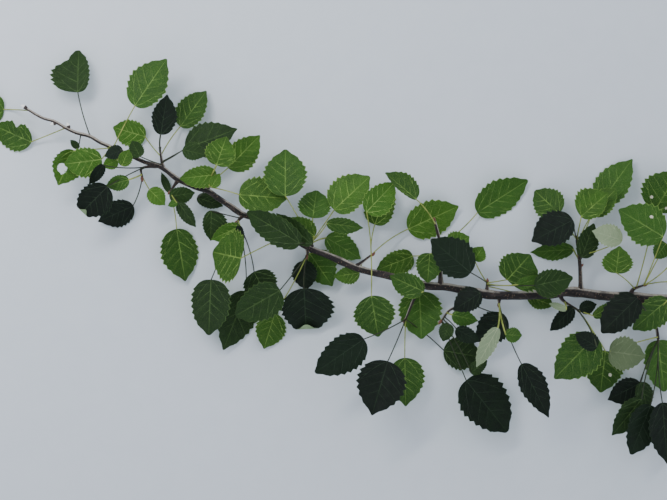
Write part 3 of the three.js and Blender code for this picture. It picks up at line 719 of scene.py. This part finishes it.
def margin(leaf, t):
    """A toothed blade's half width: the plain one less a notch between blunt teeth that lean towards the
    tip, a slow sine of its own, and half a sine beside the tip."""
    phase = (t / TOOTH_PITCH) % 1
    from_tip = (1 - t) / (TIP_LENGTH * TOOTH_PITCH)
    rising = np.clip(phase / TOOTH_LEAN, 0, 1) ** TOOTH_BULGE
    falling = np.clip((1 - phase) / (1 - TOOTH_LEAN), 0, 1)
    tooth = np.where(t < TEETH * TOOTH_PITCH, np.minimum(rising, falling), 1 - TIP_FALL * from_tip)
    tooth = np.where(t < BASE_LENGTH * TOOTH_PITCH, 1 - BASE_FALL * t / TOOTH_PITCH, tooth)
    swing = MARGIN_SWING * (1 + np.sin(SWING_TURN * t + 6.3 * leaf.swing))
    hollow = TIP_HOLLOW * np.sin(np.pi * np.clip(from_tip, 0, 1))
    return half_width(t, leaf.keenness) * (1 - TOOTH_DEPTH * (1 - tooth) - swing - hollow)


def blade_rows():
    """The parts of the length at which a blade has rows: five for each tooth, closer at both ends."""
    teeth = (np.arange(TEETH)[:, None] + np.array([0.0, 0.22, 0.48, TOOTH_LEAN, 0.88])) * TOOTH_PITCH
    tip = 1 - TIP_LENGTH * TOOTH_PITCH * (1 - np.array([0.0, 0.3, 0.6, 0.82, 0.95]))
    return np.concatenate([[0.002, 0.008], teeth.ravel()[1:], tip])


def add_blade(forms, leaf):
    """A blade: for each row a flat lens, over its upper skin and back under its lower one. Its thickness
    is the root of one less the square of the way across."""
    if leaf.name in HOLES:
        return add_holed_blade(forms, leaf)
    t = blade_rows()[:, None]
    s = np.linspace(-1, 1, BLADE_COLUMNS + 1)
    across = np.concatenate([s, s[-2:0:-1]])[None]
    face = np.repeat([1, -1], [BLADE_COLUMNS + 1, BLADE_COLUMNS - 1])
    w = SKIN_THICKNESS / 2 * face * np.sqrt(1 - across ** 2)
    forms.add(blade_surface(leaf, t, across * margin(leaf, t), w), joined(t, across, leaf.luck),
              np.repeat([0, 1], BLADE_COLUMNS))


def add_holed_blade(forms, leaf):
    """A blade with a hole whose edge is uneven by two sines: rings run round the blade, from the hole's
    edge out to the margin over the upper skin and back under the lower one."""
    centre_t, centre_y, radius = HOLES[leaf.name]
    side = blade_rows()
    t = np.concatenate([side, side[::-1]])
    y = np.concatenate([margin(leaf, side), -margin(leaf, side[::-1])])
    out = np.stack([t - centre_t, y - centre_y], -1)
    scale = np.array([leaf.shape.length, leaf.shape.half])
    turned = np.arctan2(out[:, 1], out[:, 0])
    ragged = radius * (1 + 0.12 * np.sin(3 * turned) + 0.08 * np.sin(1.9 * np.arange(len(t))))
    start = out / np.linalg.norm(out * scale, axis=1, keepdims=True) * ragged[:, None]
    steps = np.linspace(0, 1, HOLE_RINGS)
    steps = np.concatenate([steps, steps[-2:0:-1]])[None, :, None]
    face = np.repeat([0, 1, 0, -1], [1, HOLE_RINGS - 2, 1, HOLE_RINGS - 2])
    place = start[:, None] + (out - start)[:, None] * steps + np.array([centre_t, centre_y])
    rings = blade_surface(leaf, place[..., 0], place[..., 1], SKIN_THICKNESS / 2 * face[None])
    forms.add(rings, joined(place[..., 0], place[..., 1], leaf.luck),
              np.repeat([0, 1], HOLE_RINGS - 1), looped=True)


def add_rib(forms, leaf, q, t, y, form):
    """A vein: a diamond carried along a line on the blade, out of both its faces, whose half width and
    half height fall evenly with the way q."""
    wide, wide_loss, high, high_loss = form
    size = leaf.shape.size ** 0.5
    centre = blade_surface(leaf, t, y)
    along = unit(np.gradient(centre, axis=0))
    across = unit(np.cross(leaf.shape.normal, along))
    normal = np.cross(along, across) if leaf.name in CURLED else leaf.shape.normal
    across = across * (size * (wide - wide_loss * q))[:, None]
    above = normal * (size * (high - high_loss * q))[:, None]
    forms.add(centre[:, None] + np.stack([across, above, -across, -above], axis=1))


def basal_line(q):
    """A strong vein's way on the left half of a blade: its rise and its spread are powers of q."""
    return BASAL_START + BASAL_RISE * q ** 1.25, BASAL_SPREAD * q ** 0.9


def add_veins(forms, leaf):
    """The midrib, two strong veins from the base that bend towards the tip and fork outwards, and side
    veins, which slant from the midrib to the margin as the pillows between them do."""
    hole = HOLES.get(leaf.name)
    q = np.linspace(0, 1, 16)
    if hole:
        add_rib(forms, leaf, q, (hole[0] - hole[2] / leaf.shape.length) * q, 0 * q, CUT_MIDRIB)
    else:
        add_rib(forms, leaf, q, MIDRIB_END * q, 0 * q, MIDRIB)
    q = np.linspace(0, 1, 10)
    for side in (-1, 1):
        t, y = basal_line(q)
        add_rib(forms, leaf, q, t, side * y, BASAL_VEIN)
        for part, rise in FORKS:
            foot_t, foot_y = basal_line(part)
            spread = FORK_END * half_width(foot_t + rise, leaf.keenness) - foot_y
            if spread > FORK_LEAST and not hole:
                add_rib(forms, leaf, q, foot_t + rise * q ** 1.3, side * (foot_y + spread * q), FORK_VEIN)
        for k in range(1, SIDE_VEINS + 1):
            start = (k + VEIN_STAGGER * (side > 0)) * VEIN_PITCH + VEIN_START
            reach = SIDE_VEIN_END * half_width(start + VEIN_SLANT * 0.8, leaf.keenness)
            if not (hole and abs(start - hole[0]) < HOLE_CLEARS and side * hole[1] > -0.1):
                add_rib(forms, leaf, q, start + VEIN_SLANT * reach * q ** 1.1, side * reach * q, SIDE_VEIN)


def add_stalk(forms, leaf):
    """A leaf stalk along the bowed line, flatter than round. Its foot swells by e to the minus way."""
    t = np.linspace(0, 1, STALK_ROWS)
    centre = stalk_points(leaf.root, leaf.base, t, leaf.bow)
    foot = STALK_FOOT * np.exp(-t / STALK_FOOT_LENGTH)
    radius = np.minimum(STALK_RADIUS * (STALK_FULLNESS + foot - STALK_TAPER * t), centre[:, 2])
    run = leaf.base - leaf.root
    first = UP if abs(run[2]) < np.linalg.norm(run[:2]) else None
    forms.add(rings_along(centre, radius, STALK_SIDES, first, STALK_FLATNESS))


def add_spots(forms, leaf):
    """Pale spots: low domes on the blade's upper skin, their edges made uneven by two sines."""
    out = np.linspace(1, 0.05, SPOT_RINGS)[:, None]
    angle = round_turn(SPOT_SIDES)
    ragged = out * (1 + 0.1 * np.sin(2 * angle + 1) + 0.07 * np.sin(5 * angle))
    w = SKIN_THICKNESS / 2 + SPOT_EDGE + SPOT_RISE * np.sqrt(1 - 0.98 * out ** 2)
    for centre_t, centre_y, radius in SPOTS[leaf.name]:
        t = centre_t + radius * ragged * np.cos(angle) / leaf.shape.length
        y = centre_y + radius * ragged * np.sin(angle) / leaf.shape.half
        under = blade_surface(leaf, t[:1], y[:1])
        forms.add(np.concatenate([under, blade_surface(leaf, t, y, w)]))


class Value:
    """A socket of a node tree, on which the usual signs add Math nodes."""

    def __init__(self, finish, socket):
        self.finish, self.socket = finish, socket

    def _math(self, operation, *values):
        return self.finish.node("ShaderNodeMath", {"operation": operation}, dict(enumerate(values)))

    def __add__(self, other): return self._math("ADD", self, other)
    def __sub__(self, other): return self._math("SUBTRACT", self, other)
    def __rsub__(self, other): return self._math("SUBTRACT", other, self)
    def __mul__(self, other): return self._math("MULTIPLY", self, other)
    def __truediv__(self, other): return self._math("DIVIDE", self, other)
    def __pow__(self, other): return self._math("POWER", self, other)
    def __abs__(self): return self._math("ABSOLUTE", self)


class Finish:
    """A material and its node tree."""

    def __init__(self, name):
        self.material = bpy.data.materials.new(name)
        self.material.use_nodes = True
        self.tree = self.material.node_tree
        self.shader = self.tree.nodes["Principled BSDF"]

    def node(self, kind, settings, values, output=0):
        """Adds a node of a type, with its settings first and then the values or links of its sockets."""
        made = self.tree.nodes.new(kind)
        for key, setting in settings.items():
            setattr(made, key, setting)
        for key, value in values.items():
            if isinstance(value, Value):
                self.tree.links.new(value.socket, made.inputs[key])
            else:
                made.inputs[key].default_value = value
        return Value(self, made.outputs[output])

    def marks(self):
        """The marks of the surface, whole and as three numbers."""
        whole = self.node("ShaderNodeAttribute", {"attribute_name": "marks"}, {}, "Vector")
        return whole, [self.node("ShaderNodeSeparateXYZ", {}, {0: whole}, i) for i in range(3)]

    def place(self):
        """The place on the object, in metres."""
        return self.node("ShaderNodeTexCoord", {}, {}, "Object")

    def scaled(self, vector, scale):
        return self.node("ShaderNodeVectorMath", {"operation": "MULTIPLY"}, {0: vector, 1: scale})

    def noise(self, vector, scale=1.0, detail=3.0, rough=0.55):
        return self.node("ShaderNodeTexNoise", {}, {"Vector": vector, "Scale": scale, "Detail": detail,
                                                    "Roughness": rough})

    def cells(self, vector, feature, scale):
        """Cells round scattered points: the distance to the point (F1) or to the cell's edge."""
        return self.node("ShaderNodeTexVoronoi", {"feature": feature},
                         {"Vector": self.scaled(vector, scale), "Scale": 1.0})

    def step(self, value, low, high, start=0.0, end=1.0):
        """A soft step of a value from one number to another."""
        return self.node("ShaderNodeMapRange", {"interpolation_type": "SMOOTHSTEP"},
                         {0: value, 1: low, 2: high, 3: start, 4: end})

    def blend(self, factor, first, second):
        return self.node("ShaderNodeMix", {"data_type": "RGBA"}, {0: factor, 6: first, 7: second}, 2)

    def done(self, colour, roughness, specular=0.5, height=None, strength=0.5, depth=0.0004):
        """Links colour, roughness and the bump of a height, whose depth is in metres, to the shader."""
        self.shader.inputs["Specular IOR Level"].default_value = specular
        linked = {"Base Color": colour, "Roughness": roughness}
        if height is not None:
            linked["Normal"] = self.node("ShaderNodeBump", {}, {
                "Height": height, "Strength": strength, "Distance": depth})
        for key, value in linked.items():
            self.tree.links.new(value.socket, self.shader.inputs[key])
        return self.material


def shade(red, green, blue):
    """A colour given as 0 to 255 of a screen, as the light that it stands for."""
    c = np.array([red, green, blue]) / 255
    light = np.where(c <= 0.04045, c / 12.92, ((c + 0.055) / 1.055) ** 2.4)
    return (*light.tolist(), 1.0)


LEAF_FLECK = shade(96, 78, 38)
# Painted light: the pale colour of the sunlit edge of bark.
PAINTED_SUNLIT_EDGE = shade(188, 178, 166)
CORK = shade(168, 138, 112)
CRACK = shade(30, 20, 22)
BUD_FLECK = shade(52, 30, 24)


def blade_finish(name, body, fresh, vein, gloss):
    """A blade's skin: body and fresh green in clouds, paler near the veins, in a fine net and at the
    margin, with small brown flecks and a bump from the net."""
    f = Finish(name)
    marks, (part, across, luck) = f.marks()
    place = f.place()
    colour = f.blend(f.step(f.noise(place, 55.0) + (luck - 0.5) * 0.5, 0.3, 0.75), body, fresh)
    colour = f.blend((1 - luck) * 0.35, colour, tuple(0.62 * light for light in body))
    lines = f.step(f.cells(marks, "DISTANCE_TO_EDGE", (30.0, 15.0, 9.0)), 0.02, 0.13, 1.0, 0.0)
    colour = f.blend(lines * 0.2, colour, vein)
    far = abs(across)
    phase = (part - far * VEIN_SLANT - VEIN_START) / VEIN_PITCH
    wave = f.node("ShaderNodeMath", {"operation": "COSINE"}, {0: phase * (2 * np.pi)})
    near_vein = f.step(wave, 0.85, 1.0) * f.step(far, 0.9, 0.6) * 0.08
    near_rib = f.step(far, 0.06, 0.0) * 0.35
    colour = f.blend(near_vein + near_rib, colour, vein)
    colour = f.blend(f.step(far, 0.95, 0.985) * 0.65, colour, vein)
    flecks = f.step(f.noise(place, 620.0, 2.0), 0.71, 0.76) * f.step(f.noise(place, 40.0), 0.5, 0.62)
    colour = f.blend(flecks * 0.75, colour, LEAF_FLECK)
    height = (1 - lines) * 0.6 + f.noise(place, 1900.0, 4.0, 0.6) * 0.5
    rough = f.step(f.noise(place, 140.0), 0.3, 0.7, gloss, gloss + 0.16)
    return f.done(colour, rough, 0.22, height)


def vein_finish(name, body, dark):
    """A rib or a stalk: two close colours along its fibres, and a fine ridged bump."""
    f = Finish(name)
    place = f.place()
    colour = f.blend(f.step(f.noise(place, 120.0), 0.35, 0.7), body, dark)
    fibres = f.noise(place, 1500.0)
    return f.done(colour, f.step(fibres, 0.3, 0.7, 0.42, 0.6), 0.4, fibres, 0.35, 0.0003)


def bark_finish(name, body, worn, bloom, shaded, turned):
    """Bark: dark and worn brown in long streaks, and a grey bloom in patches. Along one side, from the
    sine turned on, a painted highlight of sunlight makes it paler wherever a slow noise is over shaded.
    Pale cork spots lie across the wood and fine cracks along it, and the bump comes from all."""
    f = Finish(name)
    marks, (along, up, side) = f.marks()
    streaks = f.noise(f.scaled(marks, (0.035, 0.42, 0.42)), 1.0, 5.0, 0.62)
    colour = f.blend(f.step(streaks, 0.36, 0.66), body, worn)
    patches = f.step(f.noise(f.scaled(marks, (0.05, 0.13, 0.13)), 1.0, 4.0), 0.48, 0.7)
    colour = f.blend(patches * 0.5, colour, bloom)
    # Painted highlight: a pale sunlit edge along one side of the wood, broken by a slow noise.
    painted_sunlit_edge = f.step(side / (up * up + side * side) ** 0.5, turned, turned + 0.35)
    painted_sunlit_edge = painted_sunlit_edge * f.step(f.noise(f.scaled(marks, (0.028, 0.0, 0.0))), shaded, shaded + 0.12)
    colour = f.blend(painted_sunlit_edge * 0.9, colour, PAINTED_SUNLIT_EDGE)
    spots = f.step(f.cells(marks, "F1", (0.62, 0.24, 0.24)), 0.13, 0.24, 1.0, 0.0)
    colour = f.blend(spots * 0.8, colour, CORK)
    cracks = f.step(f.cells(marks, "DISTANCE_TO_EDGE", (0.16, 0.95, 0.95)), 0.0, 0.1)
    colour = f.blend((1 - cracks) * 0.55, colour, CRACK)
    fine = f.noise(f.scaled(marks, (1.6, 4.0, 4.0)), 1.0, 4.0)
    height = cracks * 0.5 + spots * 0.7 + fine * 0.5 + streaks * 0.6
    rough = f.step(streaks + patches * 0.2, 0.3, 0.9, 0.45, 0.78)
    return f.done(colour, rough, 0.35, height, 0.7, 0.0007)


def cut_finish():
    """Cut wood: pale, with year rings and a fine grain, a brown pith, and green bark at its edge."""
    f = Finish("cut_wood")
    marks, _ = f.marks()
    out = f.node("ShaderNodeVectorMath", {"operation": "LENGTH"}, {0: marks}, "Value")
    wobble = f.noise(marks, 0.5) * 0.7
    rings = f.node("ShaderNodeMath", {"operation": "SINE"}, {0: (out + wobble) * 6.4})
    colour = f.blend(f.step(rings, 0.2, 1.0) * 0.55, shade(222, 205, 160), shade(178, 150, 104))
    colour = f.blend(f.step(out, 1.1, 0.6), colour, shade(122, 88, 58))
    colour = f.blend(f.step(out, 4.9, 5.4), colour, shade(128, 140, 84))
    grain = f.noise(marks, 9.0, 4.0)
    colour = f.blend(grain * 0.3, colour, shade(190, 166, 120))
    return f.done(colour, f.step(grain, 0.3, 0.7, 0.6, 0.8), 0.3, grain + rings * 0.3, depth=0.0003)


def bud_finish(name, body, edge, lined, whole):
    """A bud: glossy scales with brown flecks, as much paler at their edge as lined says, and all pale
    from the mark whole on."""
    f = Finish(name)
    _, (along, scale, _) = f.marks()
    place = f.place()
    pale = f.step(along, whole, whole + 1.5)
    colour = f.blend(f.step(scale * lined + pale, 0.45, 0.85), body, edge)
    flecks = f.step(f.noise(place, 700.0), 0.45, 0.7) * (1 - pale)
    colour = f.blend(flecks * 0.5, colour, BUD_FLECK)
    grain = f.noise(place, 2200.0)
    return f.done(colour, f.step(grain, 0.3, 0.7, 0.32, 0.5), 0.5, grain + scale * 0.6, 0.4)


def spot_finish():
    """A dry pale spot on a leaf: off-white, browner in its grain."""
    f = Finish("pale_spot")
    grain = f.noise(f.place(), 900.0, 4.0)
    colour = f.blend(f.step(grain, 0.4, 0.75), shade(226, 224, 205), shade(176, 160, 120))
    return f.done(colour, f.step(grain, 0.3, 0.7, 0.7, 0.9), height=grain)


def floor_finish():
    """A plain pale floor with a very slight grain."""
    f = Finish("pale_floor")
    grain = f.noise(f.place(), 35.0, 4.0)
    colour = f.blend(grain, shade(216, 222, 230), shade(224, 229, 236))
    return f.done(colour, f.step(grain, 0.2, 0.8, 0.85, 0.95))


# The tones of leaves: name, body, fresh and vein colours, and roughness. Except p, each tone is a leaf's
# green made lighter or darker by painted light and shade: l and b are painted sunlight shining through the
# blade, m lies between, and s, d and g are painted shade.
TONES = {
    "l": ("light", shade(54, 103, 22), shade(74, 125, 30), shade(166, 196, 100), 0.5),
    "b": ("bright", shade(41, 82, 16), shade(58, 102, 22), shade(152, 184, 88), 0.5),
    "m": ("middle", shade(34, 71, 17), shade(46, 87, 22), shade(132, 166, 78), 0.52),
    "s": ("shady", shade(20, 43, 12), shade(29, 55, 16), shade(84, 112, 56), 0.53),
    "d": ("deep", shade(7, 17, 9), shade(13, 30, 13), shade(38, 60, 34), 0.54),
    "p": ("pale", shade(130, 148, 114), shade(150, 166, 130), shade(188, 198, 160), 0.55),
    "g": ("grey", shade(80, 96, 65), shade(93, 108, 75), shade(128, 140, 104), 0.55),
}
# Tones whose leaves' stalks are painted shade.
SHADED_TONES = "sd"
UNDERSIDE = (shade(126, 150, 112), shade(146, 168, 128), shade(184, 196, 150), 0.55)
# Bark colours: body, worn and bloom. Body and worn are the bark's own brown darkened by painted shade, as
# of wood lit from behind.
OLD_WOOD = (shade(17, 13, 14), shade(38, 30, 29), shade(98, 86, 82))
YOUNG_WOOD = (shade(27, 20, 20), shade(54, 42, 37), shade(108, 94, 84))
# The stalks of leaves of other tones, and the painted shade of the stalks of leaves of shaded tones: name
# and two colours.
STALKS = {
    False: ("fresh_stalk", shade(164, 172, 86), shade(122, 136, 56)),
    True: ("dark_stalk", shade(52, 62, 34), shade(40, 38, 26)),
}
# The buds' names and colours, the paleness of their scales' edges, and the mark from which all is pale.
BUDS = {
    False: ("brown_bud", shade(92, 46, 34), shade(150, 92, 62), 1.0, 9.0),
    True: ("whitish_bud", shade(50, 38, 34), shade(252, 250, 244), 0.4, 3.0),
}
BARK_CREASE = 40


def dress_wood(stem, stem_line, shoots):
    """The pieces of wood: stem, cut, leading shoot, twigs and buds."""
    # Every bark has a painted sunlit edge along one side; the last two numbers are the noise level over
    # which it shows and the sine from which it starts.
    stem.piece("main_stem_bark", [bark_finish("dark_bark", *OLD_WOOD, 0.4, 0.35)], "bark", BARK_CREASE)
    cut_forms(stem_line).piece("cut_end", [cut_finish()], "bark")
    # The leading shoot's bark is a lit copy of the young bark, with a wider, less broken painted sunlit
    # edge.
    painted_sunlit_edge = bark_finish("sunny_bark", *YOUNG_WOOD, 0.22, -0.1)
    twig_forms(shoots[:1]).piece("leading_shoot", [painted_sunlit_edge], "bark", BARK_CREASE)
    young = bark_finish("young_bark", *YOUNG_WOOD, 0.42, 0.35)
    twig_forms(shoots[1:]).piece("twigs", [young], "bark", BARK_CREASE)
    buds = bud_forms(shoots)
    for kind, look in BUDS.items():
        buds[kind].piece(f"{look[0]}s", [bud_finish(*look)], "bark")


def dress_leaves(leaves):
    """The pieces of foliage: blades and veins of each tone, stalks, and spots."""
    def piece(name, chosen, add, *finishes):
        forms = Forms(leaf.owner for leaf in chosen)
        for leaf in chosen:
            add(forms, leaf)
        forms.piece(name, finishes, "foliage")

    underside = blade_finish("underside", *UNDERSIDE)
    for tone, (word, body, fresh, vein, gloss) in TONES.items():
        chosen = [leaf for leaf in leaves if leaf.tone == tone]
        skin = blade_finish(f"{word}_leaf", body, fresh, vein, gloss)
        piece(f"{word}_blades", chosen, add_blade, skin, underside)
        piece(f"{word}_veins", chosen, add_veins, vein_finish(f"{word}_vein", vein, body))
    # Leaves of tones s and d get stalks in painted shade.
    for dark, look in STALKS.items():
        chosen = [leaf for leaf in leaves if (leaf.tone in SHADED_TONES) == dark]
        piece(f"{look[0]}s", chosen, add_stalk, vein_finish(*look))
    piece("pale_spots", [leaf for leaf in leaves if leaf.name in SPOTS], add_spots, spot_finish())


def set_stage():
    """A wide pale floor, one broad soft light over it, two weaker ones, and a pale sky."""
    corners = [(x * FLOOR_REACH, y * FLOOR_REACH, 0) for x, y in ((-1, -1), (1, -1), (1, 1), (-1, 1))]
    mesh = bpy.data.meshes.new("floor")
    mesh.from_pydata(corners, [], [(0, 1, 2, 3)])
    mesh.materials.append(floor_finish())
    add_object("floor", mesh)
    for name, (place, width, power) in LIGHTS.items():
        light = bpy.data.lights.new(name, "AREA")
        light.size, light.energy = width, power
        lamp = add_object(name, light)
        lamp.location = place
        toward = unit(-np.array(place))
        lamp.rotation_euler = (np.arccos(-toward[2]), 0, np.arctan2(toward[0], -toward[1]))
    world = bpy.data.worlds.new("studio")
    world.use_nodes = True
    sky = world.node_tree.nodes["Background"].inputs
    sky[0].default_value, sky[1].default_value = shade(232, 240, 250), SKY_STRENGTH
    bpy.context.scene.world = world


def set_camera():
    """Straight over the stem's level, so far up that the lens takes in the photograph's width."""
    view = bpy.data.cameras.new("camera")
    view.lens, view.sensor_width, view.sensor_fit = LENS, SENSOR, "HORIZONTAL"
    view.clip_start, view.clip_end = 0.1, 60.0
    camera = add_object("camera", view)
    height = STEM_LEVEL + FRAME_WIDTH * LENS / SENSOR
    camera.location = (np.array([*FRAME_MIDDLE, height]) + shift) * MM
    bpy.context.scene.camera = camera


shoots, leaves = grow()
stem, stem_line = main_stem_forms()
# The shift that brings the stem's box over the solid's.
lowest = np.min([points.min(0) for points in stem.points], axis=0)
highest = np.max([points.max(0) for points in stem.points], axis=0)
stem_low, stem_high = (np.array(corner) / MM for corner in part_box("main_stem"))
shift = (stem_low + stem_high) / 2 - (lowest + highest) / 2
shift[2] = 0

dress_wood(stem, stem_line, shoots)
dress_leaves(leaves)
set_stage()
set_camera()
